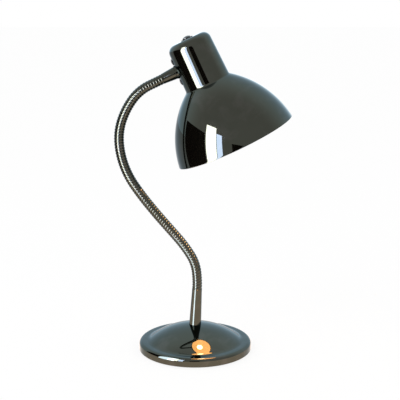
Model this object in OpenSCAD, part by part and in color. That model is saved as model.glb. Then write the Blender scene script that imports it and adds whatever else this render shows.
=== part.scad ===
// Gooseneck desk lamp: weighted round base, ribbed flexible neck, spun shade
// whose cap carries a push switch. Millimetres, +Z up. The origin is the
// centre of the underside; the neck bends in the XZ plane and the shade hangs
// towards +X.

/* [Base] */
// Outer diameter of the base
base_d = 150; // [130:1:180]
// Height of the pan's rolled edge
rim_h = 11.3; // [9:0.1:14]
// Height of the dome above the edge
dome_rise = 21; // [14:0.1:26]
// Radius of the dome's curve
dome_curve = 102; // [95:1:130]
// Radius of the hollow curve between dome and edge
dish_curve = 10; // [8:0.5:18]
// Radius of the shallow crown on the edge band
band_curve = 24; // [20:1:40]
// Radius of the edge's outer corner
edge_round = 4.5; // [3:0.1:5.5]
// Sheet thickness of the pan
pan_wall = 1; // [0.8:0.1:1.4]
// Height of the pan's lip above the table
pan_lift = 1; // [0.6:0.1:1.2]
// Thickness of the felt pad
felt_t = 1.3; // [1.2:0.1:2]
// Diameter of the felt pad
felt_d = 142; // [110:1:144]
// Thickness of the bottom cover
cover_t = 1.2; // [0.8:0.1:2]
// Diameter of the cast weight
weight_d = 124; // [90:1:130]
// Diameter of the pocket under the weight
pocket_d = 26; // [25:0.5:40]
// Height of the pocket's roof above the table
pocket_z = 12; // [11:0.5:15]
// Width of the lead channel under the weight
channel_w = 8; // [6:0.5:12]
// Height of the cord inlet above the table
inlet_z = 4.9; // [4.7:0.1:5.2]
// Bore of the inlet grommet
inlet_d = 4.6; // [3:0.1:4.8]
// Wall of the grommet
grommet_wall = 0.7; // [0.6:0.1:0.9]
// Width and thickness of the grommet's two flanges
grommet_lip = 0.8; // [0.6:0.1:0.9]

/* [Neck] */
// Outer diameter over the ribs
neck_d = 13.2; // [11.5:0.1:14]
// Depth of the groove between two ribs
rib_depth = 0.75; // [0.5:0.05:0.9]
// Distance from rib to rib
rib_pitch = 3.7; // [3.2:0.1:4.2]
// Bore of the neck
neck_bore = 6.4; // [6:0.1:7]
// Most that one link bends each way, in degrees
link_swing = 12; // [6:1:12]

/* [Ferrules] */
// Length of the lower ferrule
ferrule_len = 49.5; // [46:0.5:70]
// Lean of the lower ferrule towards the shade, in degrees
stem_lean = 3; // [0:0.5:4]
// Diameter of the lower ferrule at its foot
foot_d = 16; // [14:0.5:20]
// Diameter of both ferrules at the neck
ferrule_d = 12.9; // [11:0.1:13.5]
// Diameter of the upper ferrule at the shade
arm_d = 16; // [14:0.5:17]
// Length of the upper ferrule
arm_len = 18.6; // [14:0.1:26]
// Diameter of the saddle collar
collar_d = 17.6; // [17.2:0.1:20]
// Thickness of the saddle collar
collar_t = 1.6; // [1:0.1:3]
// Length of the spigots inside the neck
spigot_len = 5; // [3:0.5:6]
// Diameter of the threaded tubes
tube_d = 10; // [9:0.5:10]
// Bore of the threaded tubes
tube_bore = 7; // [6:0.5:7]
// Thickness of the nut under the base
base_nut_t = 4; // [3:0.5:4.5]
// Thickness of the nut inside the shade
arm_nut_t = 3.2; // [2.5:0.1:4]
// How far the threaded tubes reach into the ferrules
tube_grip = 10; // [6:0.5:12]
// Bore for the leads in the ferrules
lead_bore = 3.8; // [3:0.1:4]

/* [Shade] */
// Outer diameter of the shade's mouth
mouth_d = 159.6; // [140:0.2:180]
// Height of the dome of the shade
shade_h = 83; // [76:1:100]
// Radius of the dome's curve
shade_curve = 125.2; // [118:0.1:140]
// Outer diameter of the cap at its foot
cap_d = 60; // [60:0.1:66]
// Taper of the cap's wall, in degrees
cap_taper = 1.6; // [0:0.1:4]
// Height of the cap above the dome
cap_h = 61; // [60:0.2:68]
// Radius of the cap's top edge
cap_round = 10; // [3:0.5:11]
// Radius of the hollow corner between cap and dome
neck_round = 3; // [2:0.5:5]
// Sheet thickness of the shade
shade_wall = 1; // [0.8:0.1:1.2]
// Height of the arm's axis above the foot of the cap
arm_z = 28.9; // [28:0.1:30]

/* [Bracket and holder] */
// Sheet thickness of the bracket
bracket_t = 1.5; // [1:0.1:1.5]
// Half the angle that the bracket's leg covers, in degrees
bracket_arc = 20; // [18:1:26]
// Distance between the two bracket screws
screw_gap = 27; // [26:0.5:28]
// Diameter of the bracket screws' heads
screw_head_d = 8.8; // [7:0.1:9]
// Height of the bracket screws' heads
screw_head_h = 1.6; // [1.2:0.1:2.4]
// Thread diameter of the bracket screws
screw_d = 4; // [3:0.5:4]
// Diameter of the lampholder
holder_d = 39; // [38:0.5:40]
// Length of the lampholder
holder_h = 36; // [35:0.5:40]
// Outer diameter of the threaded shell
shell_d = 27.6; // [27.4:0.1:28.4]
// Diameter of the bulb
bulb_d = 45; // [40:1:55]
// Diameter of the bulb's screw cap
bulb_cap_d = 26.2; // [26:0.1:26.4]
// Length of the bulb's screw cap and contact
bulb_cap_len = 26; // [24:0.5:27]
// Length of the bulb
bulb_len = 74; // [68:1:80]
// Thickness of the bulb's glass
glass_t = 0.8; // [0.6:0.1:1]

/* [Switch] */
// Diameter of the button
button_d = 11; // [9:0.1:11.4]
// Height of the button above the cap
button_h = 3.8; // [3.6:0.1:4.5]
// Travel of the button
button_travel = 2.4; // [1.5:0.1:2.6]
// Diameter of the bush's flange
bush_flange_d = 16.6; // [15.5:0.1:18]
// Thickness of the bush's flange
bush_flange_t = 1; // [0.8:0.1:1.2]
// Outer diameter of the bush
bush_d = 14; // [13.8:0.1:14.4]
// Length of the bush below the flange
bush_len = 9; // [8.5:0.5:11]
// Width of the switch body, towards the arm
switch_w = 22; // [18:0.5:24]
// Depth of the switch body
switch_deep = 16; // [15:0.5:18]
// Height of the switch body
switch_h = 14; // [10:0.5:15]

/* [Hidden] */
$fn = 96;
// Gap between pieces that are fitted together
fit = 0.05;
// Gap between pieces that move past each other
play = 0.2;
// The neck's links from base to shade: ribs, then the bend in degrees (+ to +X)
links = [[6, -9], [7, -25.5], [8, -9], [8, 0], [8, 2.5], [8, 4.5], [8, 14.5],
         [8, 15.5], [8, 22.5], [8, 17], [8, 28.6], [5, 0]];
LINK_COUNT = len(links);
RIB_SIDES = 8;
// Half the angle of a hexagon's side
HEX = 30;

BLACK_CHROME = [0.25, 0.27, 0.26];
IRON = [0.18, 0.18, 0.19];
FELT = [0.1, 0.14, 0.11];
BRASS = [0.8, 0.65, 0.3];
ZINC = [0.7, 0.71, 0.73];
BLACK = [0.06, 0.06, 0.06];
CERAMIC = [0.93, 0.92, 0.88];
GLASS = [1, 0.93, 0.8];

// ---- Base: a spun pan over a cast weight ----

base_r = base_d / 2;
dome_z = rim_h + dome_rise - dome_curve;
dish_x = sqrt(pow(dome_curve + dish_curve, 2) - pow(rim_h + dish_curve - dome_z, 2));
crown_x = (dish_x + base_r - edge_round) / 2;
crown_z = rim_h - sqrt(pow(band_curve, 2) - pow(dish_x - crown_x, 2));
edge_x = base_r - edge_round;
edge_z = crown_z + sqrt(pow(band_curve - edge_round, 2) - pow(edge_x - crown_x, 2));
base_top = pan_lift + rim_h + dome_rise;

// The pan's section, filled to the axis and drawn in by inset
module base_section(inset) {
    dome = dome_curve - inset;
    dish = dish_curve + inset;
    band = band_curve - inset;
    round = edge_round - inset;
    // where the dome meets the dish, and where the band meets the corner
    share = dome / (dome_curve + dish_curve);
    meet = [dish_x * share, dome_z + (rim_h + dish_curve - dome_z) * share];
    turn = [edge_x - crown_x, edge_z - crown_z] / (band_curve - edge_round) * band
        + [crown_x, crown_z];
    crease_z = rim_h - inset;
    intersection() {
        translate([0, dome_z]) circle(dome);
        square([meet.x, meet.y + dome_rise + rim_h]);
    }
    difference() {
        polygon([[0, 0], [dish_x, 0], [dish_x, crease_z], meet, [0, meet.y]]);
        translate([dish_x, rim_h + dish_curve]) circle(dish);
    }
    intersection() {
        translate([crown_x, crown_z]) circle(band);
        polygon([[dish_x - 1, 0], [edge_x, 0], [edge_x, edge_z], turn,
                 turn + [0, 2], [dish_x - 1, turn.y + 2]]);
        translate([dish_x, 0]) square([base_r, rim_h + dome_rise]);
    }
    translate([edge_x, edge_z]) circle(round);
    square([base_r - inset, edge_z]);
}

module at_inlet(length, r, from = 0) {
    translate([0, base_r - from, inlet_z]) rotate([-90, 0, 0])
        translate([0, 0, -length]) cylinder(h = length, r = r);
}

module base_shell() {
    color(BLACK_CHROME) difference() {
        translate([0, 0, pan_lift]) rotate_extrude() difference() {
            base_section(0);
            base_section(pan_wall);
            // the open underside
            translate([-1, -1]) square([base_r - pan_wall + 1, 1 + fit]);
        }
        translate([0, 0, base_top - dome_rise])
            cylinder(h = 2 * dome_rise, r = tube_d / 2 + fit);
        at_inlet(3 * pan_wall + play, inlet_d / 2 + grommet_wall + fit, -play);
    }
}

weight_z = felt_t + cover_t + fit;

module base_weight() {
    color(IRON) difference() {
        intersection() {
            translate([0, 0, pan_lift]) rotate_extrude() base_section(pan_wall + play);
            translate([0, 0, weight_z]) cylinder(h = base_top, r = weight_d / 2);
        }
        cylinder(h = 2 * base_top, r = tube_d / 2 + play);
        cylinder(h = pocket_z, r = pocket_d / 2);
        translate([-channel_w / 2, 0, 0]) cube([channel_w, weight_d, pocket_z - 2]);
    }
}

module base_cover() {
    color(BLACK) difference() {
        translate([0, 0, felt_t]) cylinder(h = cover_t, r = base_r - pan_wall - play);
        at_inlet(5 * grommet_lip + play, grommet_flange_r + play, pan_wall - play);
    }
}

module felt_pad() {
    color(FELT) cylinder(h = felt_t, r = felt_d / 2);
}

grommet_flange_r = inlet_z - pan_lift;

module inlet_grommet() {
    outer = base_r + grommet_lip;
    inner = base_r - pan_wall - grommet_lip - fit;
    color(BLACK) difference() {
        union() {
            // both flanges bend with the wall of the pan
            intersection() {
                at_inlet(4 * grommet_lip + pan_wall + play, grommet_flange_r, -2 * grommet_lip);
                difference() {
                    cylinder(h = base_top, r = outer);
                    cylinder(h = base_top, r = base_r + fit);
                }
            }
            intersection() {
                at_inlet(4 * grommet_lip + pan_wall + play, grommet_flange_r, 0);
                difference() {
                    translate([0, 0, pan_lift]) rotate_extrude()
                        base_section(pan_wall + play / 2);
                    cylinder(h = base_top, r = inner);
                }
            }
            intersection() {
                at_inlet(4 * grommet_lip + pan_wall, inlet_d / 2 + grommet_wall, -grommet_lip);
                difference() {
                    cylinder(h = base_top, r = outer);
                    cylinder(h = base_top, r = inner);
                }
            }
        }
        at_inlet(9 * grommet_lip, inlet_d / 2, -3 * grommet_lip);
    }
}

washer_t = 1.5;
base_nut_w = tube_d + 4;
base_tube_end = pocket_z - washer_t - base_nut_t - 1.5;

module threaded_tube(length) {
    difference() {
        cylinder(h = length, d = tube_d);
        translate([0, 0, -1]) cylinder(h = length + 2, d = tube_bore);
    }
}

module hex_nut(across, thick) {
    difference() {
        cylinder(h = thick, d = across / cos(HEX), $fn = 6);
        translate([0, 0, -1]) cylinder(h = thick + 2, d = tube_d + 2 * fit);
    }
}

module washer(d, thick) {
    difference() {
        cylinder(h = thick, d = d);
        translate([0, 0, -1]) cylinder(h = thick + 2, d = tube_d + 2 * fit);
    }
}

module base_tube() {
    color(ZINC) translate([0, 0, base_tube_end])
        threaded_tube(base_top + tube_grip - base_tube_end);
}

module base_washer() {
    color(ZINC) translate([0, 0, pocket_z - washer_t]) washer(pocket_d - 4, washer_t);
}

module base_nut() {
    color(ZINC) translate([0, 0, pocket_z - washer_t - base_nut_t])
        hex_nut(base_nut_w, base_nut_t);
}

// ---- Neck: ribbed links, each one following its own arc ----

neck_r = neck_d / 2;
groove_r = neck_r - rib_depth;
stem_top = [ferrule_len * sin(stem_lean), base_top + ferrule_len * cos(stem_lean)];

function link_len(i) = links[i][0] * rib_pitch;
function link_lean(i) = i == 0 ? stem_lean : link_lean(i - 1) + links[i - 1][1];
// the way covered after d millimetres of link i, as [x, z]
function link_way(i, d) = let (lean = link_lean(i), bend = links[i][1])
    bend == 0 ? d * [sin(lean), cos(lean)]
    : let (r = link_len(i) / (bend * PI / 180), now = lean + bend * d / link_len(i))
      r * [cos(lean) - cos(now), sin(now) - sin(lean)];
function link_start(i) = i == 0 ? stem_top
    : link_start(i - 1) + link_way(i - 1, link_len(i - 1));
// a ring of points round link i, d millimetres along it
function link_ring(i, d, r) = let (at = link_start(i) + link_way(i, d),
    lean = link_lean(i) + links[i][1] * d / link_len(i))
    [for (k = [0:RIB_SIDES - 1]) let (a = 360 * k / RIB_SIDES)
        [at.x + r * cos(a) * cos(lean), r * sin(a), at.y - r * cos(a) * sin(lean)]];
// how far a link's end stands back at radius r, so that it clears when it swings
function end_gap(r) = r * tan(link_swing / 2) + play / 2;
// how far link i's bore has turned aside where a straight spigot of its end stops
function bore_drift(i) = spigot_len * rib_pitch * abs(links[i][1]) * PI / 180 / link_len(i);
spigot_r = neck_bore / 2 * cos(180 / RIB_SIDES) - fit
    - max(bore_drift(0), bore_drift(LINK_COUNT - 1));

module neck_link(i) {
    count = links[i][0];
    length = link_len(i);
    first = i > 0;
    last = i < LINK_COUNT - 1;
    low = first ? [end_gap(neck_bore / 2), end_gap(groove_r)] : [0, 0];
    high = last ? [end_gap(neck_bore / 2), end_gap(groove_r)] : [fit, fit];
    outside = concat(
        [[low[1], groove_r], [rib_pitch / 2, neck_r]],
        [for (k = [1:count - 1], half = [0, 1])
            [(k + half / 2) * rib_pitch, half == 0 ? groove_r : neck_r]],
        [[length - high[1], groove_r]]);
    bore = concat(
        [[length - high[0], neck_bore / 2]],
        [for (k = [count - 2:-2:1]) [k * rib_pitch, neck_bore / 2]],
        [[low[0], neck_bore / 2]]);
    rings = concat(outside, bore);
    n = len(rings);
    points = [for (s = rings, p = link_ring(i, s[0], s[1])) p];
    faces = [for (j = [0:n - 1], k = [0:RIB_SIDES - 1], half = [0, 1])
        let (a = j * RIB_SIDES, b = (j + 1) % n * RIB_SIDES, next = (k + 1) % RIB_SIDES)
        half == 0 ? [a + k, b + k, b + next] : [a + k, b + next, a + next]];
    color(BLACK_CHROME) polyhedron(points, faces);
}

module on_stem() {
    translate([0, 0, base_top]) rotate([0, stem_lean, 0]) children();
}

// The ferrule leans, but its flat foot and the socket for the tube stand upright
module lower_ferrule() {
    sunk = foot_d * tan(stem_lean);
    color(BLACK_CHROME) difference() {
        intersection() {
            on_stem() {
                translate([0, 0, -sunk]) cylinder(h = ferrule_len + sunk - fit,
                    r1 = foot_d / 2, r2 = ferrule_d / 2);
                cylinder(h = ferrule_len + spigot_len, r = spigot_r);
            }
            translate([0, 0, base_top]) cylinder(h = 2 * ferrule_len, r = foot_d);
        }
        on_stem() cylinder(h = 2 * ferrule_len, d = lead_bore);
        translate([0, 0, base_top - 1])
            cylinder(h = tube_grip + 1 + fit, d = tube_d + 2 * fit);
    }
}

// ---- Head: everything below is drawn upright and set on the neck's end ----

head_tilt = 90 - link_lean(LINK_COUNT - 1) - links[LINK_COUNT - 1][1];
function cap_r(z) = cap_d / 2 - z * tan(cap_taper);
arm_reach = cap_r(arm_z) + collar_t + arm_len;
neck_end = link_start(LINK_COUNT - 1) + link_way(LINK_COUNT - 1, link_len(LINK_COUNT - 1));
head_at = neck_end + arm_reach * [cos(head_tilt), sin(head_tilt)]
    - arm_z * [-sin(head_tilt), cos(head_tilt)];

module in_head() {
    translate([head_at.x, 0, head_at.y]) rotate([0, -head_tilt, 0]) children();
}

// From here +Z points inward along the arm's axis, and z = 0 is the shade's axis
module along_arm(z = arm_z) {
    translate([0, 0, z]) rotate([0, 90, 0]) children();
}

// The shade's section, filled to the axis and drawn in by inset
curve_half = norm([mouth_d / 2 - cap_d / 2, shade_h]) / 2;
curve_dir = [mouth_d / 2 - cap_d / 2, -shade_h] / (2 * curve_half);
curve_at = [(mouth_d + cap_d) / 4, -shade_h / 2]
    + sqrt(pow(shade_curve, 2) - pow(curve_half, 2)) * [curve_dir.y, -curve_dir.x];
corner_x = cap_d / 2 + neck_round / cos(cap_taper) - curve_at.x;
corner_b = -curve_at.y - corner_x * tan(cap_taper);
corner_c = pow(corner_x, 2) + pow(curve_at.y, 2) - pow(shade_curve + neck_round, 2);
corner_a = 1 + pow(tan(cap_taper), 2);
corner_z = (-corner_b + sqrt(pow(corner_b, 2) - corner_a * corner_c)) / corner_a;
corner_at = [cap_d / 2 + neck_round / cos(cap_taper) - corner_z * tan(cap_taper), corner_z];

module shade_section(inset) {
    round = cap_round - inset;
    top_z = cap_h - cap_round;
    top_x = cap_r(top_z) - cap_round / cos(cap_taper);
    wall = inset / cos(cap_taper);
    out = [cos(cap_taper), sin(cap_taper)];
    on_wall = corner_at - (neck_round + inset) * out;
    on_dome = curve_at + (corner_at - curve_at) * (shade_curve - inset) / (shade_curve + neck_round);
    intersection() {
        translate(curve_at) circle(shade_curve - inset, $fn = 192);
        translate([0, -shade_h]) square([mouth_d, shade_h + corner_z]);
        polygon([[0, -shade_h], [mouth_d, -shade_h], [mouth_d, on_dome.y], on_dome,
                 [0, on_wall.y]]);
    }
    polygon([[0, on_dome.y - 2], [on_wall.x, on_dome.y - 2], on_wall,
             [top_x, top_z] + round * out, [top_x, top_z], [0, top_z]]);
    difference() {
        polygon([[0, on_dome.y], on_dome, on_wall, [0, on_wall.y]]);
        translate(corner_at) circle(neck_round + inset);
    }
    // turned so that the circle starts inside the section, clear of the wall
    translate([top_x, top_z]) rotate(180) circle(round);
    square([top_x, cap_h - inset]);
}

// The cap's wall alone as a solid, drawn in by inset
module cap_solid(inset) {
    translate([0, 0, 4]) cylinder(h = cap_h - cap_round - 4, r1 = cap_r(4) - inset,
        r2 = cap_r(cap_h - cap_round) - inset);
}

module lamp_shade() {
    color(BLACK_CHROME) in_head() difference() {
        rotate_extrude($fn = 144) difference() {
            shade_section(0);
            shade_section(shade_wall);
            translate([-1, -shade_h - 1]) square([mouth_d / 2 - shade_wall, 1 + fit]);
        }
        along_arm() rotate([0, 180, 0]) cylinder(h = cap_d, d = tube_d + 2 * fit);
        bracket_screw_holes();
        translate([0, 0, cap_h - 3 * shade_wall]) cylinder(h = 5 * shade_wall, d = bush_d + 2 * fit);
    }
}

module bracket_screw_holes() {
    for (side = [-1, 1]) along_arm(arm_z + side * screw_gap / 2)
        rotate([0, 180, 0]) cylinder(h = cap_d, d = screw_d + 2 * fit, $fn = 32);
}

bracket_edge = 6;
bracket_top = arm_z + screw_gap / 2 + bracket_edge;
bracket_low = arm_z - screw_gap / 2 - bracket_edge;
shelf_z = arm_z - screw_gap / 2 + screw_d / 2 + 1;
shelf_r = 14;
tongue_w = 16;
lead_hole_d = 8;
holder_screw_gap = 18;
holder_screw_d = 3;
holder_screw_len = 6;
holder_screw_head_d = 5.6;
holder_screw_head_h = 1.8;
screw_reach = 2.5;

module holder_bracket() {
    leg = shade_wall / cos(cap_taper) + fit;
    color(ZINC) in_head() difference() {
        union() {
            rotate([0, 0, 180 - bracket_arc]) rotate_extrude(angle = 2 * bracket_arc)
                polygon([[cap_r(bracket_low) - leg, bracket_low],
                         [cap_r(bracket_top) - leg, bracket_top],
                         [cap_r(bracket_top) - leg - bracket_t, bracket_top],
                         [cap_r(bracket_low) - leg - bracket_t, bracket_low]]);
            translate([0, 0, shelf_z]) linear_extrude(bracket_t) {
                circle(shelf_r);
                translate([leg + bracket_t / 2 - cap_r(shelf_z), -tongue_w / 2])
                    square([cap_r(shelf_z) - leg, tongue_w]);
            }
        }
        along_arm() rotate([0, 180, 0]) cylinder(h = cap_d, d = tube_d + 2 * fit);
        bracket_screw_holes();
        for (side = [-1, 1]) translate([0, side * holder_screw_gap / 2, shelf_z - 1])
            cylinder(h = bracket_t + 2, d = holder_screw_d + 2 * fit, $fn = 32);
        translate([0, 0, shelf_z - 1]) cylinder(h = bracket_t + 2, d = lead_hole_d);
    }
}

// A cheese-and-round-head screw along +Z: the head's top is at z = -head_h
module screw(d, length, head_d, head_h) {
    crown = (pow(head_d / 2, 2) + pow(head_h * 0.7, 2)) / (2 * head_h * 0.7);
    cylinder(h = length, d = d - 2 * fit, $fn = 32);
    rotate_extrude($fn = 48) intersection() {
        translate([0, crown - head_h]) circle(crown, $fn = 96);
        translate([0, -head_h]) square([head_d / 2, head_h]);
    }
}

module bracket_screws() {
    color(BLACK_CHROME) in_head() for (side = [-1, 1]) {
        z = arm_z + side * screw_gap / 2;
        along_arm(z) translate([0, 0, -cap_r(z - screw_head_d / 2) - fit])
            screw(screw_d, shade_wall + bracket_t + screw_reach, screw_head_d, screw_head_h);
    }
}

module upper_ferrule() {
    butt = cap_r(arm_z) + collar_t + fit;
    color(BLACK_CHROME) in_head() along_arm() difference() {
        union() {
            translate([0, 0, -arm_reach + fit]) cylinder(h = arm_len - 2 * fit,
                r1 = ferrule_d / 2, r2 = arm_d / 2);
            translate([0, 0, -arm_reach - spigot_len]) cylinder(h = arm_len + spigot_len - fit,
                r = spigot_r);
        }
        translate([0, 0, -2 * arm_reach]) cylinder(h = 2 * arm_reach, d = lead_bore);
        translate([0, 0, -butt - tube_grip]) cylinder(h = 2 * tube_grip, d = tube_d + 2 * fit);
    }
}

module saddle_collar() {
    color(BLACK_CHROME) in_head() difference() {
        along_arm() translate([0, 0, -cap_r(arm_z) - collar_t]) difference() {
            cylinder(h = collar_t + 3, d = collar_d);
            translate([0, 0, -1]) cylinder(h = collar_t + 5, d = tube_d + 2 * fit);
        }
        cap_solid(-fit);
    }
}

arm_seat = cap_r(arm_z) - shade_wall / cos(cap_taper) - fit - bracket_t;
arm_washer_t = 2.4;
arm_washer_d = tube_d + 5;
arm_nut_w = tube_d + 3;

// A washer whose back is curved to bear on the bracket's leg
module arm_washer() {
    color(ZINC) in_head() intersection() {
        along_arm() translate([0, 0, -arm_seat - 2]) difference() {
            cylinder(h = arm_washer_t + 2, d = arm_washer_d);
            translate([0, 0, -1]) cylinder(h = arm_washer_t + 4, d = tube_d + 2 * fit);
        }
        cylinder(h = cap_h, r1 = cap_r(0) - cap_r(arm_z) + arm_seat - fit,
            r2 = cap_r(cap_h) - cap_r(arm_z) + arm_seat - fit);
    }
}

module arm_nut() {
    color(ZINC) in_head() along_arm()
        translate([0, 0, -arm_seat + arm_washer_t + fit]) hex_nut(arm_nut_w, arm_nut_t);
}

module arm_tube() {
    from = cap_r(arm_z) + collar_t + tube_grip;
    color(ZINC) in_head() along_arm() translate([0, 0, -from])
        threaded_tube(from - arm_seat + arm_washer_t + arm_nut_t + 1);
}

// ---- Lampholder and bulb, below the bracket's shelf ----

// the holder's floor carries the contact, and seat_z is where the bulb's tip bears
holder_floor = 13;
contact_t = 1.6;
contact_d = 9;
rivet_d = 4.6;
rivet_reach = 4;
floor_z = shelf_z - holder_floor;
seat_z = floor_z - contact_t;
holder_low = shelf_z - holder_h;
// the holder's upper part is narrower, with a slanted shoulder
shoulder_w = 3;
shoulder_z = shelf_z - 9;
shell_wall = 0.4;
shell_hole_d = 16;

module holder_body() {
    r = holder_d / 2;
    color(CERAMIC) in_head() difference() {
        rotate_extrude() difference() {
            polygon([[0, shelf_z - fit], [r - 1.5 * shoulder_w, shelf_z - fit],
                     [r - shoulder_w, shelf_z - shoulder_w / 2],
                     [r - shoulder_w, shoulder_z], [r, shoulder_z - shoulder_w],
                     [r, holder_low + shoulder_w], [r - shoulder_w / 3, holder_low],
                     [0, holder_low]]);
            translate([-1, holder_low - 1]) square([shell_d / 2 + fit + 1, floor_z - holder_low + 1]);
        }
        for (side = [-1, 1])
            translate([0, side * holder_screw_gap / 2, shelf_z - holder_screw_len - 2])
                cylinder(h = holder_floor, d = holder_screw_d - 2 * fit, $fn = 32);
        translate([0, 0, floor_z - 1]) cylinder(h = 2 * holder_floor, d = rivet_d + 2 * play);
    }
}

module holder_screws() {
    color(ZINC) in_head() for (side = [-1, 1])
        translate([0, side * holder_screw_gap / 2, shelf_z + bracket_t + fit])
            rotate([180, 0, 0]) screw(holder_screw_d - 4 * fit,
                bracket_t + holder_screw_len, holder_screw_head_d, holder_screw_head_h);
}

module thread_shell() {
    rim = holder_low + shoulder_w;
    color(BRASS) in_head() rotate_extrude() difference() {
        translate([0, rim]) square([shell_d / 2, floor_z - fit - rim]);
        translate([-1, rim - 1])
            square([bulb_cap_d / 2 + play + 1, floor_z - fit - rim + 1 - shell_wall]);
        square([shell_hole_d / 2, cap_h]);
    }
}

// A sprung disc for the bulb's tip, riveted through the holder's floor
module centre_contact() {
    color(BRASS) in_head() translate([0, 0, seat_z + fit]) {
        cylinder(h = 0.5, d = contact_d);
        cylinder(h = contact_t + rivet_reach, d = rivet_d);
    }
}

bulb_low = seat_z - bulb_len;
bulb_r = bulb_d / 2;
bulb_z = bulb_low + bulb_r;
cap_low = seat_z - bulb_cap_len;
glass_neck_r = bulb_cap_d / 2 - 0.7;
// how far the glass reaches into the cap
glass_grip = 6;

module glass_section(inset) {
    r = bulb_r - inset;
    neck = glass_neck_r - inset;
    // where the slope to the neck leaves the ball
    slope_from = 24;
    intersection() {
        translate([0, bulb_z]) circle(r);
        translate([0, bulb_low - 1]) square([bulb_d, bulb_len]);
    }
    polygon([[0, bulb_z], [r * cos(slope_from), bulb_z + r * sin(slope_from)],
             [neck, cap_low - 1], [neck, cap_low + glass_grip + inset],
             [0, cap_low + glass_grip + inset]]);
}

module bulb_glass() {
    color(GLASS) in_head() rotate_extrude() difference() {
        glass_section(0);
        glass_section(glass_t);
    }
}

// the screw cap's wall, its slanted shoulder and the hole for the insulator
cap_sheet = 0.5;
cap_top = seat_z - 3;
shoulder_h = 2;
shoulder_in = 3.5;
insulator_d = 14;

module bulb_cap() {
    r = bulb_cap_d / 2;
    color(BRASS) in_head() rotate_extrude() difference() {
        polygon([[0, cap_low], [r, cap_low], [r, cap_top - shoulder_h],
                 [r - shoulder_in, cap_top], [0, cap_top]]);
        polygon([[-1, cap_low - 1], [r - cap_sheet, cap_low - 1],
                 [r - cap_sheet, cap_top - shoulder_h - 0.8 * cap_sheet],
                 [r - cap_sheet - shoulder_in, cap_top - 0.8 * cap_sheet],
                 [-1, cap_top - 0.8 * cap_sheet]]);
        square([insulator_d / 2, 2 * cap_h], center = true);
    }
}

// The insulator's rim lies on the cap and rises to the tip that bears on the holder
module bulb_contact() {
    tip = seat_z - cap_top;
    r = insulator_d / 2;
    color(ZINC) in_head() translate([0, 0, cap_top]) rotate_extrude()
        polygon([[0, -play], [r / 2, -play], [r / 2, fit], [r + 0.5, fit],
                 [r - 1.5, 0.6 * tip], [r - 2.4, 0.74 * tip], [r / 2, tip], [0, tip]]);
}

// The mount: a glass stem with two support wires that hold the filament
stem_d = 5;
stem_flare = 2;
wire_d = 0.8;
wire_lean = 30;
wire_len = 13;
filament_d = 1.2;
filament_w = 17;

module bulb_filament() {
    flare_z = cap_low + glass_grip;
    flare_r = glass_neck_r - glass_t - play;
    filament_z = bulb_z + stem_flare;
    stem_low = filament_z + 12;
    color(ZINC) in_head() {
        rotate_extrude() polygon([[0, stem_low], [stem_d / 2, stem_low],
            [stem_d / 2, flare_z - 1.5 * stem_flare], [flare_r, flare_z - stem_flare / 2],
            [flare_r, flare_z], [0, flare_z]]);
        for (side = [-1, 1]) translate([0, side * 1.5, stem_low])
            rotate([side * (180 - wire_lean), 0, 0])
                translate([0, 0, -1]) cylinder(h = wire_len + 1, d = wire_d, $fn = 16);
        translate([0, 0, filament_z]) rotate([90, 0, 0])
            cylinder(h = filament_w, d = filament_d, center = true, $fn = 16);
    }
}

// ---- Push switch in the top of the cap ----

// the button is held by a lip that stops under the bush's shoulder
lip_z = cap_h - 2;
lip_w = 0.5;
lip_t = 1.4;

module switch_bush() {
    r = bush_flange_d / 2;
    below = cap_h - bush_len - 1;
    color(BLACK) in_head() rotate_extrude() difference() {
        union() {
            polygon([[0, cap_h + fit], [r, cap_h + fit],
                     [r - 0.6 * bush_flange_t, cap_h + bush_flange_t],
                     [0, cap_h + bush_flange_t]]);
            translate([0, cap_h - bush_len]) square([bush_d / 2, bush_len + fit]);
        }
        translate([-1, below]) square([button_d / 2 + fit + 1, 2 * bush_len]);
        // the counterbore that the button's lip slides in
        translate([-1, below]) square([button_d / 2 + lip_w + play + 1, lip_z - below]);
    }
}

switch_nut_t = 2.2;
switch_nut_w = bush_d + 3;

module switch_nut() {
    color(BLACK) in_head() translate([0, 0, cap_h - shade_wall - fit - switch_nut_t])
        difference() {
            cylinder(h = switch_nut_t, d = switch_nut_w / cos(HEX), $fn = 6);
            translate([0, 0, -1]) cylinder(h = switch_nut_t + 2, d = bush_d + 2 * fit);
        }
}

// how much the button's top is domed
button_rise = 1.8;

module switch_button() {
    r = button_d / 2;
    top = cap_h + button_h;
    crown = (pow(r, 2) + pow(button_rise, 2)) / (2 * button_rise);
    color(BLACK) in_head() rotate_extrude() {
        intersection() {
            translate([0, top - crown]) circle(crown);
            translate([0, lip_z - 1]) square([r, top - lip_z + 1]);
        }
        translate([0, lip_z - play - lip_t]) square([r + lip_w, lip_t]);
    }
}

pocket_depth = 3;

module switch_body() {
    color(BLACK) in_head() difference() {
        translate([-switch_w / 2, -switch_deep / 2, cap_h - bush_len - fit - switch_h])
            cube([switch_w, switch_deep, switch_h]);
        // two terminal pockets in the underside
        for (side = [-1, 1])
            translate([side * switch_w / 4, 0, cap_h - bush_len - switch_h - 1])
                cylinder(h = 1 + pocket_depth, d = switch_w / 4 - 0.5, $fn = 32);
    }
}

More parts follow.
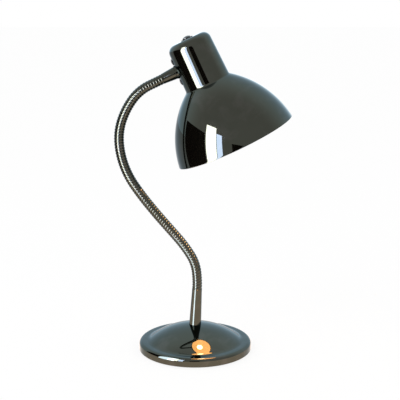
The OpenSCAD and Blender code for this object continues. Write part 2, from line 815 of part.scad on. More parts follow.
base_shell();
base_weight();
base_cover();
felt_pad();
inlet_grommet();
base_tube();
base_washer();
base_nut();
lower_ferrule();
neck_link(0);  // neck_link_01
neck_link(1);  // neck_link_02
neck_link(2);  // neck_link_03
neck_link(3);  // neck_link_04
neck_link(4);  // neck_link_05
neck_link(5);  // neck_link_06
neck_link(6);  // neck_link_07
neck_link(7);  // neck_link_08
neck_link(8);  // neck_link_09
neck_link(9);  // neck_link_10
neck_link(10);  // neck_link_11
neck_link(11);  // neck_link_12
upper_ferrule();
saddle_collar();
arm_tube();
arm_washer();
arm_nut();
lamp_shade();
holder_bracket();
bracket_screws();
holder_screws();
holder_body();
thread_shell();
centre_contact();
bulb_glass();
bulb_cap();
bulb_contact();
bulb_filament();
switch_bush();
switch_nut();
switch_body();
switch_button();
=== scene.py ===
import math

import bmesh
import bpy
from mathutils import Matrix, Vector


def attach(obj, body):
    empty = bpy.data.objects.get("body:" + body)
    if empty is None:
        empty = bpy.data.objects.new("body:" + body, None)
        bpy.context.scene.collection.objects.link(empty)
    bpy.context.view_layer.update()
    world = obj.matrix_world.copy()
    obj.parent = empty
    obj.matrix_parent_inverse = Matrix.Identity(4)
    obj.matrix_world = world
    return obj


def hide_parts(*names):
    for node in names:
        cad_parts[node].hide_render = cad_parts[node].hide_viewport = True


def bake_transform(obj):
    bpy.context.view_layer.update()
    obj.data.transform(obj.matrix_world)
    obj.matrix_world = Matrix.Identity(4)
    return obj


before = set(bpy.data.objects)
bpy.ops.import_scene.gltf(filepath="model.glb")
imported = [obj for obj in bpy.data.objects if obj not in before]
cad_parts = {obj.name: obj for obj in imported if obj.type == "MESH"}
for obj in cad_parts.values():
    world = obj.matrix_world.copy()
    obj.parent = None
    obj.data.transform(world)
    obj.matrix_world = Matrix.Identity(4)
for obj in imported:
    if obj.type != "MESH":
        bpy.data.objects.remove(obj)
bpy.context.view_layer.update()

scene = bpy.context.scene
scene.view_settings.view_transform = "Standard"

# ---- Camera ----
# A long lens over a metre in front of the lamp, a little higher than the shade and
# pitched down at it.
CAMERA_AT = (0.0065, -1.174, 0.4418)
CAMERA_PITCH = 78.5
camera = bpy.data.objects.new("camera", bpy.data.cameras.new("camera"))
scene.collection.objects.link(camera)
camera.location = CAMERA_AT
camera.rotation_euler = (math.radians(CAMERA_PITCH), 0, 0)
camera.data.lens = 82.6
camera.data.sensor_width = 36
camera.data.clip_start = 0.05
camera.data.clip_end = 60
scene.camera = camera

# ---- Base pan ----
# A round pan of sheet steel, spun over a former: a low dome, a hollow, a crowned
# rim and an upright edge. It is polished and plated in black chrome.
MM = 0.001


class Signal:
    """A socket in a material's nodes; sums on it add Math nodes."""

    def __init__(self, tree, socket=None):
        self.tree = tree
        self.socket = socket

    def node(self, kind, settings, sockets, out=0):
        """An output of a new node, made with these settings and socket values or links."""
        made = self.tree.nodes.new("ShaderNode" + kind)
        for key, value in settings.items():
            setattr(made, key, value)
        for key, value in sockets.items():
            if isinstance(value, Signal):
                self.tree.links.new(value.socket, made.inputs[key])
            else:
                made.inputs[key].default_value = value
        return Signal(self.tree, made.outputs[out] if made.outputs else None)

    def sum(self, operation, first, second, clamp=False):
        """A Math node on two values, clamped to between 0 and 1 if asked."""
        return self.node("Math", {"operation": operation, "use_clamp": clamp}, {0: first, 1: second})

    def __add__(self, other):
        return self.sum("ADD", self, other)

    __radd__ = __add__

    def __mul__(self, other):
        return self.sum("MULTIPLY", self, other)

    __rmul__ = __mul__

    def __sub__(self, other):
        return self.sum("SUBTRACT", self, other)

    def __rsub__(self, other):
        return self.sum("SUBTRACT", other, self)

    def above(self, level, soft):
        """0 under the level, 1 over it, with a soft step between."""
        return self.sum("DIVIDE", self - (level - soft / 2), soft, clamp=True)

    def blend(self, low, high):
        """The colour low where this is 0 and high where it is 1."""
        low, high = [(*colour, 1) if isinstance(colour, tuple) else colour for colour in (low, high)]
        # a Mix node's colours go in at 6 and 7 and come out at 2
        return self.node("Mix", {"data_type": "RGBA"}, {0: self, 6: low, 7: high}, out=2)


def paint(name):
    """A new material as (material, its maths, its Object coordinates)."""
    material = bpy.data.materials.new(name)
    material.use_nodes = True
    material.node_tree.nodes.clear()
    maths = Signal(material.node_tree)
    return material, maths, maths.node("TexCoord", {}, {}, out="Object")


def stretched(maths, place, x, y, z):
    """Coordinates on which a pattern repeats x, y and z times as fast."""
    return maths.node("Mapping", {}, {"Vector": place, "Scale": (x, y, z)})


def noise(maths, place, scale, detail, rough=0.5, warp=0.0):
    """Fractal noise from 0 to 1; scale is about how many lumps there are in a metre."""
    sockets = {"Vector": place, "Scale": scale, "Detail": detail,
               "Roughness": rough, "Distortion": warp}
    return maths.node("TexNoise", {}, sockets)


def relief(maths, height, depth, strength=1.0, under=None):
    """A Bump node; depth is what a height of 1 stands up, in metres."""
    sockets = {"Height": height, "Distance": depth, "Strength": strength}
    if under:
        sockets["Normal"] = under
    return maths.node("Bump", {}, sockets)


def finish_paint(material, maths, sockets):
    """Closes a material with its shader."""
    shader = maths.node("BsdfPrincipled", {}, sockets)
    maths.node("OutputMaterial", {}, {"Surface": shader})
    return material


def black_chrome(name):
    """Mirror plating: smoky patches, hand smudges, dust and hairline scratches."""
    material, maths, place = paint(name)
    smoke = noise(maths, place, 14, 3)
    smudge = noise(maths, place, 38, 4, 0.62, 0.6)
    marks = smudge.above(0.58, 0.16)
    upright = noise(maths, stretched(maths, place, 220, 220, 9), 6, 3)
    level = noise(maths, stretched(maths, place, 14, 260, 260), 5, 3)
    scratches = upright.above(0.66, 0.05) + level.above(0.67, 0.05)
    dust = noise(maths, place, 1500, 2).above(0.78, 0.04) * noise(maths, place, 60, 2).above(0.5, 0.2)
    colour = smoke.blend((0.040, 0.043, 0.035), (0.054, 0.056, 0.046))
    colour = (marks * 0.35).blend(colour, (0.075, 0.072, 0.066))
    colour = (dust * 0.5).blend(colour, (0.16, 0.155, 0.145))
    rough = 0.022 + 0.03 * marks + 0.05 * scratches + 0.25 * dust
    wave = relief(maths, noise(maths, place, 30, 1), 0.00006, 0.06)
    fine = relief(maths, scratches, 0.0000015, 0.3, wave)
    return finish_paint(material, maths, {
        "Base Color": colour, "Metallic": 1.0, "Roughness": rough, "Normal": fine,
        "Specular Tint": (0.60, 0.66, 0.71, 1)})


def arc(centre, radius, start, end, steps):
    """Points on a circle in the section's plane, from one angle to another."""
    angles = [math.radians(start + (end - start) * k / steps) for k in range(steps + 1)]
    return [(centre[0] + radius * math.cos(angle), centre[1] + radius * math.sin(angle))
            for angle in angles]


def bearing(centre, point):
    """The angle in degrees at which the point lies from the centre."""
    return math.degrees(math.atan2(point[1] - centre[1], point[0] - centre[0]))


def shade_smooth(bm, sharp=32):
    """Smooth faces, with a crisp edge wherever two meet at more than sharp degrees."""
    for face in bm.faces:
        face.smooth = True
    for edge in bm.edges:
        if len(edge.link_faces) == 2:
            edge.smooth = edge.calc_face_angle(0) < math.radians(sharp)


def to_object(bm, name, materials, body):
    """The finished mesh as a piece, which rides on the body if one is named."""
    mesh = bpy.data.meshes.new(name)
    bm.to_mesh(mesh)
    bm.free()
    piece = bpy.data.objects.new(name, mesh)
    scene.collection.objects.link(piece)
    for material in materials:
        mesh.materials.append(material)
    if body:
        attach(piece, body)
    return piece


def spun(section, steps, closed=True):
    """A section in millimetres, turned round the Z axis; an open one ends on that axis."""
    bm = bmesh.new()
    ring = [bm.verts.new((x * MM, 0, z * MM)) for x, z in section]
    pairs = list(zip(ring, ring[1:])) + ([(ring[-1], ring[0])] if closed else [])
    edges = [bm.edges.new(pair) for pair in pairs]
    bmesh.ops.spin(bm, geom=ring + edges, cent=(0, 0, 0), axis=(0, 0, 1),
                   angle=2 * math.pi, steps=steps, use_merge=True)
    bmesh.ops.remove_doubles(bm, verts=bm.verts, dist=1e-7)
    bmesh.ops.recalc_face_normals(bm, faces=bm.faces)
    return bm


BASE_R = 75
PAN_LIFT = 1
PAN_WALL = 1
RIM_H = 11.3
DOME_RISE = 21
DOME_R = 102
DISH_R = 10
BAND_R = 24
EDGE_R = 4.5
LIP_BEVEL = 0.3
BASE_TOP = PAN_LIFT + RIM_H + DOME_RISE
TUBE_HOLE_R = 5.05


def pan_section(inset):
    """The pan's outer line, from the tube's hole to the lip, drawn in by inset."""
    dome_z = RIM_H + DOME_RISE - DOME_R
    dish_x = math.sqrt((DOME_R + DISH_R) ** 2 - (RIM_H + DISH_R - dome_z) ** 2)
    edge_x = BASE_R - EDGE_R
    crown_x = (dish_x + edge_x) / 2
    crown_z = RIM_H - math.sqrt(BAND_R ** 2 - (dish_x - crown_x) ** 2)
    edge_z = crown_z + math.sqrt((BAND_R - EDGE_R) ** 2 - (edge_x - crown_x) ** 2)
    dome, dish = (0, dome_z), (dish_x, RIM_H + DISH_R)
    band, edge = (crown_x, crown_z), (edge_x, edge_z)
    meet = bearing(dome, dish)
    start = math.degrees(math.acos(TUBE_HOLE_R / (DOME_R - inset)))
    # the crown is so shallow that one strip crosses it, from the dish to this angle
    strip_end = math.degrees(math.acos((crown_x - dish_x) / (BAND_R - inset)))
    turn = bearing(band, edge)
    line = arc(dome, DOME_R - inset, start, meet, 48)
    line += arc(dish, DISH_R + inset, meet + 180, 270, 14)
    line += arc(band, BAND_R - inset, strip_end, turn, 10)[1:]
    line += arc(edge, EDGE_R - inset, turn, 0, 8)[1:]
    return [(x, z + PAN_LIFT) for x, z in line]


chrome = black_chrome("black_chrome_plate")
lip = [(BASE_R, PAN_LIFT + LIP_BEVEL), (BASE_R - LIP_BEVEL, PAN_LIFT),
       (BASE_R - PAN_WALL + LIP_BEVEL, PAN_LIFT), (BASE_R - PAN_WALL, PAN_LIFT + LIP_BEVEL)]
bm = spun(pan_section(0) + lip + pan_section(PAN_WALL)[::-1], 256)
shade_smooth(bm)
pan = to_object(bm, "base_pan", [chrome], "base")
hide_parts("base_shell")

# ---- Base weight, cover and felt ----
# A cast-iron disc fills the dome; a lacquered sheet closes the underside and
# carries a glued pad of wool felt. The lead runs in a channel to a rubber grommet.


def dress(node, material):
    """Gives a CAD node's own solid this finish."""
    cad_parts[node].material_slots[0].material = material


material, maths, place = paint("cast_iron")
lumps = noise(maths, place, 260, 6, 0.65)
rust = noise(maths, place, 45, 4).above(0.6, 0.12)
dress("base_weight", finish_paint(material, maths, {
    "Base Color": (rust * 0.6).blend(
        lumps.blend((0.09, 0.09, 0.095), (0.2, 0.2, 0.205)), (0.16, 0.075, 0.04)),
    "Metallic": 0.75 - 0.6 * rust, "Roughness": 0.5 + 0.35 * lumps,
    "Normal": relief(maths, lumps, 0.0005)}))

material, maths, place = paint("cover_lacquer")
peel = noise(maths, place, 900, 2)
scuffs = noise(maths, stretched(maths, place, 12, 160, 12), 5, 4).above(0.63, 0.08)
dress("base_cover", finish_paint(material, maths, {
    "Base Color": (scuffs * 0.5).blend((0.028, 0.028, 0.03), (0.1, 0.1, 0.1)),
    "Roughness": 0.42 + 0.12 * peel + 0.2 * scuffs, "Normal": relief(maths, peel, 0.00005)}))

material, maths, place = paint("wool_felt")
fibre = noise(maths, stretched(maths, place, 1, 1.7, 1), 1400, 5, 0.8, 1.5)
mottle = noise(maths, place, 60, 3)
lint = noise(maths, place, 420, 3, 0.7, 3).above(0.66, 0.05)
dress("felt_pad", finish_paint(material, maths, {
    "Base Color": (lint * 0.35).blend(
        (0.6 * fibre + 0.4 * mottle).blend((0.022, 0.036, 0.026), (0.07, 0.1, 0.075)), (0.2, 0.22, 0.19)),
    "Roughness": 0.9 + 0.08 * fibre, "Sheen Weight": 0.4, "Sheen Roughness": 0.6,
    "Normal": relief(maths, fibre, 0.0004)}))

material, maths, place = paint("moulded_rubber")
bloom = noise(maths, place, 300, 4)
dress("inlet_grommet", finish_paint(material, maths, {
    "Base Color": bloom.blend((0.018, 0.018, 0.018), (0.045, 0.044, 0.042)),
    "Roughness": 0.62 + 0.2 * bloom, "Normal": relief(maths, noise(maths, place, 2600, 2), 0.00003)}))

# ---- Base tube, washer and nut ----
# A threaded tube, zinc-plated steel like its washer and nut, runs up through the
# weight and the pan into the ferrule and clamps the three together.
material, maths, place = paint("zinc_plate")
spangle = maths.node("TexVoronoi", {}, {"Vector": place, "Scale": 420.0}, out="Distance")
white_rust = noise(maths, place, 130, 5, 0.6).above(0.62, 0.1)
iris = noise(maths, place, 70, 2).blend((0.60, 0.62, 0.64), (0.70, 0.67, 0.58))
zinc = finish_paint(material, maths, {
    "Base Color": (white_rust * 0.5).blend(iris, (0.74, 0.74, 0.73)),
    "Metallic": 1 - 0.5 * white_rust, "Roughness": 0.24 + 0.16 * spangle + 0.25 * white_rust,
    "Normal": relief(maths, spangle, 0.00004, 0.5)})
for node in ("base_tube", "base_washer", "base_nut"):
    dress(node, zinc)

# ---- Lower ferrule ----
# A turned cone that stands on the dome's top and leans a little towards the shade.
# It is plated like the pan, and its spigot holds the neck.
FERRULE_LEN = 49.5
FERRULE_D = 12.9
FOOT_D = 16
STEM_LEAN = 3
# how far the foot sinks into the dome, and how far short of its full length a cone stops
SEAT = 0.35
SHORT = 0.05
# the mouth is turned up a little to take the end of the neck's wire
MOUTH_R = FERRULE_D / 2 + 0.16
MOUTH_BEVEL = 0.25
# the stem's own frame: Z runs up the cone, and z = 0 is the top of the dome
stem = Matrix.Translation((0, 0, BASE_TOP * MM)) @ Matrix.Rotation(math.radians(STEM_LEAN), 4, "Y")
foot = [(0, -SEAT), (FOOT_D / 2 - 0.2, -SEAT), (FOOT_D / 2, 0.1), (FOOT_D / 2 - 0.05, 0.6)]
cone = [(FOOT_D / 2 - (FOOT_D - FERRULE_D) / 2 * k / 12, FERRULE_LEN * k / 12) for k in range(1, 12)]
mouth = [(MOUTH_R, FERRULE_LEN - 3.2), (MOUTH_R, FERRULE_LEN - MOUTH_BEVEL - SHORT),
         (MOUTH_R - MOUTH_BEVEL, FERRULE_LEN - SHORT), (0, FERRULE_LEN - SHORT)]
bm = spun(foot + cone + mouth, 96, closed=False)
bmesh.ops.transform(bm, matrix=stem, verts=bm.verts)
shade_smooth(bm)
ferrule = to_object(bm, "lower_ferrule_cone", [chrome], "base")
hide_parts("lower_ferrule")

# ---- Neck ----
# A round steel wire wound in a close coil, with a three-sided wire pressed into the
# groove between its turns; friction between the two holds every bend. Black chrome.
NECK_D = 13.2
RIB_PITCH = 3.7
WIRE_R = 1.72
WIRE_SIDES = 10
TURN_STEPS = 28
GROOVE_DEPTH = 0.45
INTO_FERRULE = 1.2
# how far to either side of its hinge the centreline is looked up for each piece of the coil
BEND_REACH = 9
# ribs and bend of each link of the CAD neck, in degrees towards +X
LINKS = [(6, -9), (7, -25.5), (8, -9), (8, 0), (8, 2.5), (8, 4.5), (8, 14.5),
         (8, 15.5), (8, 22.5), (8, 17), (8, 28.6), (5, 0)]
NECK_LEN = sum(ribs for ribs, bend in LINKS) * RIB_PITCH
stem_top = stem @ Vector((0, 0, FERRULE_LEN * MM))


def along_neck(way):
    """(point, lean) on the neck's centreline, way millimetres from the ferrule."""
    x, z, lean = stem_top.x / MM, stem_top.z / MM, math.radians(STEM_LEAN)
    for ribs, bend in LINKS:
        length = ribs * RIB_PITCH
        # the last link runs on into the upper ferrule
        part = way if (ribs, bend) == LINKS[-1] or way < length else length
        turn = math.radians(bend) * part / length
        chord = part if not turn else part * math.sin(turn / 2) / (turn / 2)
        x += chord * math.sin(lean + turn / 2)
        z += chord * math.cos(lean + turn / 2)
        lean += turn
        way -= part
        if way <= 0:
            break
    return Vector((x * MM, 0, z * MM)), lean


def bend_to_neck(bm):
    """Takes a straight coil, whose Z is the way along the neck, onto the centreline."""
    for vert in bm.verts:
        point, lean = along_neck(vert.co.z / MM)
        out = Vector((math.cos(lean), 0, -math.sin(lean)))
        vert.co = point + out * vert.co.x + Vector((0, vert.co.y, 0))


def coil(bm, start, end, section, from_axis, shift):
    """Winds a wire of that section between two ways along the neck, with flat ends.

    A shift of 0.5 puts it halfway between the turns of a wire without one."""
    turns = (end - start) / RIB_PITCH
    steps = round(turns * TURN_STEPS)
    before = set(bm.verts)
    ring = bmesh.ops.create_circle(bm, segments=len(section), radius=MM)["verts"]
    for vert, (x, z) in zip(ring, section):
        vert.co = Vector(((from_axis + x) * MM, 0, z * MM))
    bm.faces.new(ring)
    outline = list(dict.fromkeys(edge for vert in ring for edge in vert.link_edges))
    made = bmesh.ops.spin(bm, geom=ring + outline, cent=(0, 0, 0), axis=(0, 0, 1),
                          dvec=(0, 0, (end - start) * MM / steps), angle=2 * math.pi * turns,
                          steps=steps, use_merge=False)
    outline = [item for item in made["geom_last"] if isinstance(item, bmesh.types.BMEdge)]
    bmesh.ops.contextual_create(bm, geom=outline)
    fresh = [vert for vert in bm.verts if vert not in before]
    turn = Matrix.Rotation(2 * math.pi * (start / RIB_PITCH + shift), 4, "Z")
    bmesh.ops.transform(bm, matrix=Matrix.Translation((0, 0, start * MM)) @ turn, verts=fresh)


starts = [sum(ribs for ribs, bend in LINKS[:k]) * RIB_PITCH for k in range(len(LINKS) + 1)]
middles = [(a + b) / 2 for a, b in zip(starts, starts[1:])]
wire = arc((0, 0), WIRE_R, 0, 360, WIRE_SIDES)[:-1]
# the pressed-in wire fills the groove with its flat side out and its edge towards the axis
infill = [(0, -0.95), (0, 0.95), (-1.6, 0.15), (-1.6, -0.15)]
# a piece of the coil spans each hinge, except at this one: there the pieces
# on either side meet square, because with every joint at its limit a bend here goes astray
SQUARE_HINGE = 7
for k in [hinge for hinge in range(1, len(LINKS)) if hinge != SQUARE_HINGE]:
    first = starts[k - 1] if k == SQUARE_HINGE + 1 else middles[k - 1]
    last = starts[k + 1] if k == SQUARE_HINGE - 1 else middles[k]
    if k == 1:
        first = -INTO_FERRULE
    if k == len(LINKS) - 1:
        last = NECK_LEN + INTO_FERRULE
    bm = bmesh.new()
    coil(bm, first, last, wire, NECK_D / 2 - WIRE_R, 0)
    coil(bm, first, last, infill, NECK_D / 2 - GROOVE_DEPTH, 0.5)
    bmesh.ops.recalc_face_normals(bm, faces=bm.faces)
    bend_to_neck(bm)
    shade_smooth(bm, 50)
    piece = to_object(bm, f"neck_coil_{k:02d}", [chrome], None)
    tuple(along_neck(starts[k] + BEND_REACH)[0])
    tuple(along_neck(starts[k] - BEND_REACH)[0])
    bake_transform(piece)
    if k in (SQUARE_HINGE - 1, len(LINKS) - 1):
        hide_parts(f"neck_link_{k:02d}", f"neck_link_{k + 1:02d}")
    else:
        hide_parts(f"neck_link_{k:02d}")

# ---- Upper ferrule and saddle collar ----
# The neck ends in a second turned cone, which butts on a collar whose back is
# hollowed to sit on the shade's cap. Both are black chrome.
ARM_D = 16
ARM_LEN = 18.6
COLLAR_T = 1.6
CAP_D = 60
CAP_TAPER = math.radians(1.6)
ARM_Z = 28.9


def cap_r(z):
    """The cap's radius at a height above its foot."""
    return CAP_D / 2 - z * math.tan(CAP_TAPER)


neck_end, lean = along_neck(NECK_LEN)
tilt = math.pi / 2 - lean
arm_reach = cap_r(ARM_Z) + COLLAR_T + ARM_LEN
out = Vector((math.cos(tilt), 0, math.sin(tilt)))
up = Vector((-math.sin(tilt), 0, math.cos(tilt)))
head_at = neck_end + (arm_reach * out - ARM_Z * up) * MM
# the head's own frame: Z is the shade's axis, and z = 0 is where the cap meets the dome
head = Matrix.Translation(head_at) @ Matrix.Rotation(-tilt, 4, "Y")
# the arm's own frame: Z points into the cap, and z = 0 is on the shade's axis
arm = head @ Matrix.Translation((0, 0, ARM_Z * MM)) @ Matrix.Rotation(math.pi / 2, 4, "Y")
butt = -cap_r(ARM_Z) - COLLAR_T
mouth = [(0, -arm_reach + SHORT), (MOUTH_R - MOUTH_BEVEL, -arm_reach + SHORT),
         (MOUTH_R, -arm_reach + MOUTH_BEVEL + SHORT), (MOUTH_R, -arm_reach + 1.8)]
cone = [(FERRULE_D / 2 + (ARM_D - FERRULE_D) / 2 * k / 8, ARM_LEN * k / 8 - arm_reach) for k in range(1, 8)]
foot = [(ARM_D / 2 - 0.05, butt - 0.5), (ARM_D / 2 - 0.2, butt - 0.12),
        (ARM_D / 2 - 0.5, butt - SHORT), (0, butt - SHORT)]
bm = spun(mouth + cone + foot, 96, closed=False)
bmesh.ops.transform(bm, matrix=arm, verts=bm.verts)
shade_smooth(bm)
ferrule = to_object(bm, "upper_ferrule_cone", [chrome], "head")
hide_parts("upper_ferrule")
dress("saddle_collar", chrome)
for node in ("arm_tube", "arm_washer", "arm_nut"):
    dress(node, zinc)

# ---- Shade ----
# One sheet of metal, spun: a dome with a tapered cap. Outside it is plated in black
# chrome, inside it is sprayed with a warm white enamel that the bulb has aged. The arm's
# nut holds it by its cap.
MOUTH_D = 159.6
SHADE_H = 83
SHADE_R = 125.2
CAP_H = 61
CAP_ROUND = 10
NECK_ROUND = 3
SHADE_WALL = 1
BUSH_HOLE_R = 7.05
# height of the rounded edge, and of the part of it that is plated inside too
RIM_ROLL = 0.3
PLATED_RIM = 0.2
# the dome's arc bulges outwards from a chord between the cap's foot and the rim
chord = Vector(((MOUTH_D - CAP_D) / 2, -SHADE_H))
inwards = Vector((chord.y, -chord.x)).normalized()
dome_at = (Vector(((MOUTH_D + CAP_D) / 4, -SHADE_H / 2))
           + math.sqrt(SHADE_R ** 2 - (chord.length / 2) ** 2) * inwards)


def corner_centre():
    """The centre of the round that joins the cap's tapered wall to the dome's arc."""
    taper = math.tan(CAP_TAPER)
    wall_x = CAP_D / 2 + NECK_ROUND / math.cos(CAP_TAPER)
    off = wall_x - dome_at.x
    square = 1 + taper ** 2
    half_linear = -dome_at.y - off * taper
    constant = off ** 2 + dome_at.y ** 2 - (SHADE_R + NECK_ROUND) ** 2
    z = (-half_linear + math.sqrt(half_linear ** 2 - square * constant)) / square
    return wall_x - z * taper, z


def shade_section(inset):
    """The shade's line from the bush's hole to the rim, drawn in by inset."""
    wall = math.degrees(CAP_TAPER)
    shoulder = (cap_r(CAP_H - CAP_ROUND) - CAP_ROUND / math.cos(CAP_TAPER), CAP_H - CAP_ROUND)
    line = [(BUSH_HOLE_R + (shoulder[0] - BUSH_HOLE_R) * k / 6, CAP_H - inset) for k in range(6)]
    line += arc(shoulder, CAP_ROUND - inset, 90, wall, 12)
    corner = corner_centre()
    fillet = arc(corner, NECK_ROUND + inset, 180 + wall, bearing(corner, dome_at) % 360, 10)
    (top_x, top_z), (low_x, low_z) = line[-1], fillet[0]
    line += [(top_x + (low_x - top_x) * k / 12, top_z + (low_z - top_z) * k / 12) for k in range(1, 12)]
    line += fillet
    rim = math.degrees(math.asin((RIM_ROLL - SHADE_H - dome_at.y) / (SHADE_R - inset)))
    return line + arc(dome_at, SHADE_R - inset, bearing(dome_at, corner), rim, 64)[1:]


material, maths, place = paint("warm_white_enamel")
spray = noise(maths, place, 700, 2)
age = noise(maths, place, 26, 3)
soot = noise(maths, place, 95, 4).above(0.62, 0.12)
colour = age.blend((0.90, 0.80, 0.62), (0.95, 0.88, 0.74))
enamel = finish_paint(material, maths, {
    "Base Color": (soot * 0.25).blend(colour, (0.62, 0.5, 0.36)),
    "Roughness": 0.3 + 0.14 * spray + 0.1 * soot, "Normal": relief(maths, spray, 0.00004)})
outer = shade_section(0)
inner = shade_section(SHADE_WALL)
rim = [(outer[-1][0] - 0.02, -SHADE_H + 0.12), (outer[-1][0] - 0.25, -SHADE_H),
       (inner[-1][0] + 0.25, -SHADE_H), (inner[-1][0] + 0.04, -SHADE_H + 0.12)]
bm = spun(outer + rim + inner[::-1], 256)
for face in bm.faces:
    middle = face.calc_center_median() / MM
    outwards = Vector((middle.x, middle.y, 0)) if middle.z < CAP_H - CAP_ROUND else Vector((0, 0, 1))
    inside = face.normal.dot(outwards) < 0
    face.material_index = int(inside and middle.z > PLATED_RIM - SHADE_H)
bmesh.ops.transform(bm, matrix=head, verts=bm.verts)
shade_smooth(bm)
shade = to_object(bm, "spun_shade", [chrome, enamel], "head")
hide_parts("lamp_shade")

# ---- Bracket and its screws ----
# A zinc-plated strip is screwed to the cap from outside, above and below the arm,
# and carries the lampholder on a shelf.
dress("holder_bracket", zinc)
dress("holder_screws", zinc)
material, maths, place = paint("black_oxide")
grain = noise(maths, place, 900, 3)
worn = noise(maths, place, 240, 3).above(0.62, 0.1)
oxide = finish_paint(material, maths, {
    "Base Color": (worn * 0.5).blend(
        grain.blend((0.018, 0.018, 0.02), (0.04, 0.04, 0.043)), (0.14, 0.13, 0.12)),
    "Metallic": 0.6, "Roughness": 0.3 + 0.2 * grain, "Normal": relief(maths, grain, 0.00003)})
dress("bracket_screws", oxide)

# ---- Lampholder ----
# White glazed porcelain with a brass threaded shell and a sprung centre contact. Two
# screws hold it on the bracket's shelf.
material, maths, place = paint("glazed_porcelain")
glaze = noise(maths, place, 60, 3)
specks = noise(maths, place, 800, 2).above(0.73, 0.03)
dress("holder_body", finish_paint(material, maths, {
    "Base Color": (specks * 0.6).blend(
        glaze.blend((0.80, 0.78, 0.71), (0.88, 0.86, 0.80)), (0.35, 0.3, 0.25)),
    "Roughness": 0.1 + 0.12 * glaze, "Coat Weight": 0.4, "Normal": relief(maths, glaze, 0.0002, 0.5)}))
material, maths, place = paint("rolled_brass")
tarnish = noise(maths, place, 120, 4).above(0.5, 0.3)
brass = finish_paint(material, maths, {
    "Base Color": tarnish.blend((0.72, 0.52, 0.22), (0.42, 0.27, 0.12)), "Metallic": 1.0,
    "Roughness": 0.22 + 0.25 * tarnish, "Normal": relief(maths, tarnish, 0.00003)})
dress("thread_shell", brass)
dress("centre_contact", brass)

# ---- Bulb ----
# A round glass bulb, etched white inside, with a nickel-plated screw cap. It is screwed
# into the lampholder, and it is lit.
material, maths, place = paint("etched_glass_lit")
etch = noise(maths, place, 1300, 3)
haze = noise(maths, place, 50, 3)
glow = haze.blend((1.0, 0.58, 0.25), (1.0, 0.64, 0.32))
dress("bulb_glass", finish_paint(material, maths, {
    "Base Color": etch.blend((0.84, 0.82, 0.78), (0.93, 0.91, 0.87)),
    "Roughness": 0.3 + 0.2 * etch, "Emission Color": glow, "Emission Strength": 2.8,
    "Normal": relief(maths, etch, 0.00002)}))
material, maths, place = paint("nickel_plate")
wear = noise(maths, place, 150, 4)
nickel = finish_paint(material, maths, {
    "Base Color": wear.blend((0.50, 0.47, 0.42), (0.68, 0.65, 0.60)), "Metallic": 1.0,
    "Roughness": 0.2 + 0.25 * wear, "Normal": relief(maths, wear, 0.00003)})
for node in ("bulb_cap", "bulb_contact", "bulb_filament"):
    dress(node, nickel)

# ---- Push switch ----
# A bush, held in the cap's top by a nut, carries the switch's body below, and the domed
# button slides in it. All four are moulded in black plastic.
material, maths, place = paint("moulded_black")
skin = noise(maths, place, 1100, 2)
touch = noise(maths, place, 200, 3).above(0.55, 0.2)
moulded = finish_paint(material, maths, {
    "Base Color": skin.blend((0.010, 0.010, 0.011), (0.022, 0.022, 0.023)),
    "Roughness": 0.2 + 0.12 * skin + 0.12 * touch, "Normal": relief(maths, skin, 0.000004, 0.5)})
for node in ("switch_bush", "switch_nut", "switch_body", "switch_button"):
    dress(node, moulded)

# ---- Floor ----
# A pale floor that runs out of sight. The camera, mirrors and glass see it as mostly
# plain white, and the rest of what they see is its own light and shade.
WHITE_SHARE = 0.85
FLOOR_R = 30
material, maths, place = paint("pale_floor")
seen = [maths.node("LightPath", {}, {}, out=ray) for ray in
        ("Is Camera Ray", "Is Glossy Ray", "Is Transmission Ray")]
shown = maths.sum("MINIMUM", seen[0] + seen[1] + seen[2], 1.0) * WHITE_SHARE
tone = noise(maths, place, 3, 3).blend((0.90, 0.90, 0.90), (0.93, 0.93, 0.93))
lit = maths.node("BsdfDiffuse", {}, {"Color": tone})
plain = maths.node("Emission", {}, {"Color": (1, 1, 1, 1), "Strength": 1.0})
maths.node("OutputMaterial", {}, {"Surface": maths.node("MixShader", {}, {0: shown, 1: lit, 2: plain})})
bm = bmesh.new()
bmesh.ops.create_circle(bm, cap_ends=True, segments=96, radius=FLOOR_R)
floor = to_object(bm, "floor", [material], None)

# ---- Daylight ----
# Even white light from all round. In the plating alone it turns bluer and brighter
# towards the back, in one soft grade, as a bright wall behind the lamp would.
world = bpy.data.worlds.new("studio")
scene.world = world
world.use_nodes = True
world.node_tree.nodes.clear()
maths = Signal(world.node_tree)
mirrored = maths.node("LightPath", {}, {}, out="Is Glossy Ray")
# in a world this output is the direction looked in, and its Y points to the back
looked = maths.node("TexCoord", {}, {}, out="Generated")
backwards = maths.node("SeparateXYZ", {}, {0: looked}, out="Y")
grade = maths.node("MapRange", {"interpolation_type": "SMOOTHSTEP"},
                   {"Value": backwards, "From Min": -0.35, "From Max": 0.55})
behind = mirrored * grade
maths.node("OutputWorld", {}, {"Surface": maths.node("Background", {}, {
    "Color": behind.blend((1, 1, 1), (0.80, 0.93, 1.0)), "Strength": 1 + 0.85 * behind})})

# ---- Glow of the bulb ----
# Two warm discs that ride in the shade's mouth and show in the plating only. One stands
# for the lit enamel and one for the bulb, at their full brightness.
# the part of its square that a disc fills
DISC_SHARE = math.pi / 4


def lamp(name, at, aim, size, radiance, colour, unseen_by):
    """A flat lamp that neither the camera nor the named kind of ray sees."""
    light = bpy.data.lights.new(name, "AREA")
    light.shape = "RECTANGLE"
    light.size, light.size_y = size
    light.energy = radiance * math.pi * size[0] * size[1]
    light.color = colour
    holder = bpy.data.objects.new(name, light)
    holder.location = at
    holder.rotation_euler = (Vector(aim) - Vector(at)).to_track_quat("-Z", "Y").to_euler()
    holder.visible_camera = False
    setattr(holder, "visible_" + unseen_by, False)
    scene.collection.objects.link(holder)
    return holder


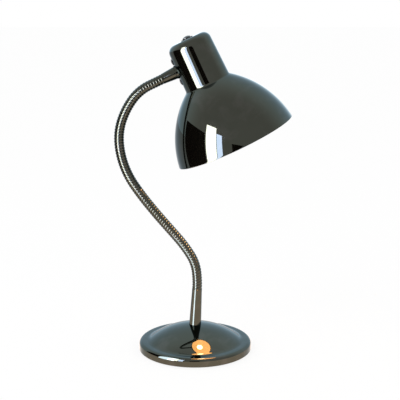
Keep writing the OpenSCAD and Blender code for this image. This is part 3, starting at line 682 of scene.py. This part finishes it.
for name, x, y, z, across, radiance, colour in (
        ("enamel_glow", 0, 0, -79, 152, 19, (1, 0.44, 0.14)),
        ("bulb_glow", -22, -9, -80, 42, 60, (1, 0.82, 0.55))):
    disc = lamp(name, head @ Vector((x * MM, y * MM, z * MM)), head @ Vector((x * MM, y * MM, -1)),
                (across * MM, across * MM), radiance * DISC_SHARE, colour, "diffuse")
    disc.data.shape = "DISK"
    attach(disc, "head")

# ---- Window ----
# Two tall panes with a bar between, and a low one close to the base. They light nothing
# and show in the plating only.


def upright(middle_y, side, way, left, right, foot, height):
    """(place, width) of a panel that stands square to one bearing and fills two others.

    Bearings are in degrees round the point at middle_y on the Y axis, where 0 is the way to
    the camera, and way is how far off the panel stands."""
    edges = [way * math.tan(math.radians(edge - side)) for edge in (left, right)]
    place = (Matrix.Translation((0, middle_y, 0)) @ Matrix.Rotation(math.radians(side), 4, "Z")
             @ Matrix.Translation((sum(edges) / 2, -way, height / 2 + foot)))
    return place, edges[1] - edges[0]


# most bearings are taken round a point a little in front of the base's middle
MIDDLE_Y = -0.06
for name, middle_y, side, way, left, right, foot, height, radiance, colour in (
        ("window_pane_1", MIDDLE_Y, -43, 0.42, -58.5, -37, 0.005, 0.515, 26, (1, 1, 1)),
        ("window_pane_2", MIDDLE_Y, -43, 0.42, -36, -25.5, 0.005, 0.450, 22, (0.54, 0.64, 1)),
        ("window_foot", 0, -42, 0.105, -51, -28, 0.003, 0.092, 24, (0.66, 0.78, 1))):
    place, width = upright(middle_y, side, way, left, right, foot, height)
    lamp(name, place.translation, place @ Vector((0, 1, 0)), (width, height), radiance, colour, "diffuse")

# ---- Dark cards ----
# Two upright cards of matt black board. They show in the plating only, and give it the
# dark bands beside the window.
card_paint, maths, place = paint("matt_black_card")
finish_paint(card_paint, maths, {
    "Base Color": noise(maths, place, 6, 2).blend((0.022, 0.012, 0.008), (0.034, 0.02, 0.014)),
    "Roughness": 0.9})
for name, side, way, left, right, height in (
        ("card_by_the_camera", 0, 1.15, -11, 9, 0.555),
        ("card_by_the_window", -77, 0.44, -112, -61, 0.42)):
    place, width = upright(MIDDLE_Y, side, way, left, right, 0.002, height)
    bm = bmesh.new()
    bmesh.ops.create_grid(bm, x_segments=1, y_segments=1, size=0.5)
    stand = Matrix.Rotation(math.radians(90), 4, "X") @ Matrix.Diagonal((width, height, 1, 1))
    bmesh.ops.transform(bm, matrix=place @ stand, verts=bm.verts)
    card = to_object(bm, name, [card_paint], None)
    card.visible_camera = False
    card.visible_diffuse = False
    card.visible_shadow = False

# ---- Table panel and key ----
# A warm panel flat on the table in front shows in the plating's lower parts only. The
# soft key stands high on the left and lights all that isn't a mirror.
lamp("table_panel", (0.1, -0.35, 0.0005), (0.1, -0.35, 1), (1.3, 0.9), 1.5, (1, 0.68, 0.48), "diffuse")
lamp("soft_key", (-1.0, -1.3, 1.7), (0, 0, 0.15), (1.1, 1.1), 2.1, (1, 1, 1), "glossy")
